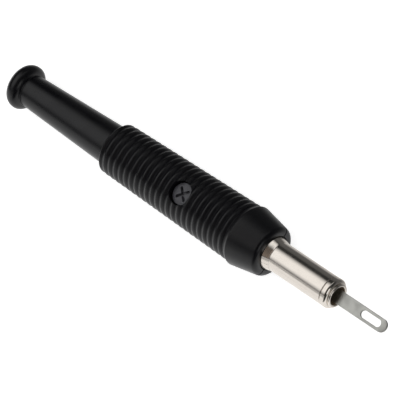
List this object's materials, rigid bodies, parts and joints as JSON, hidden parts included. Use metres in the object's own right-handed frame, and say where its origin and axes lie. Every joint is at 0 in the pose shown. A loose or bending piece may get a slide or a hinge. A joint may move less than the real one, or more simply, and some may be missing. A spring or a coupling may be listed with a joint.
{
  "type": "clamp test probe with banana socket",
  "caption": "Slim hand probe with a 4 mm banana socket in its thumb bead, ribbed grip, metal nose tube and sliding tongue with an eye.",
  "frame": {"origin": "centre of the socket's mouth, in the rear face of the thumb bead", "axes": "+X along the probe from the socket to the tongue, +Z towards the head of the clamp screw and square to the tongue's flat face"},
  "size_m": [0.1035, 0.0134, 0.0134],
  "materials": {
    "grip_plastic": "satin black moulding",
    "plunger_plastic": "smooth satin black moulding",
    "black_screw": "dull dark grey",
    "nickel": "bright nickel plate",
    "spring_steel": "rolled strip, satin",
    "brass": "turned",
    "ring_rubber": "dull",
    "white_plastic": "waxy"
  },
  "bodies": {
    "grip": {"grip_upper_shell": "grip_plastic", "grip_lower_shell": "grip_plastic", "clamp_screw": "black_screw", "screw_insert": "brass", "nose_tube": "nickel", "tube_ferrule": "nickel", "rod_bush": "white_plastic", "mouth_bush": "nickel"},
    "plunger": {"plunger": "plunger_plastic", "friction_ring": "ring_rubber", "socket_sleeve": "nickel", "push_rod": "brass", "rod_circlip": "spring_steel", "tongue": "spring_steel", "tongue_rivets": "brass"}
  },
  "joints": [
    {"name": "plunger_slide", "type": "slide", "parent": "grip", "child": "plunger", "axis": [1, 0, 0], "range_m": [-0.0108, 0]}
  ]
}
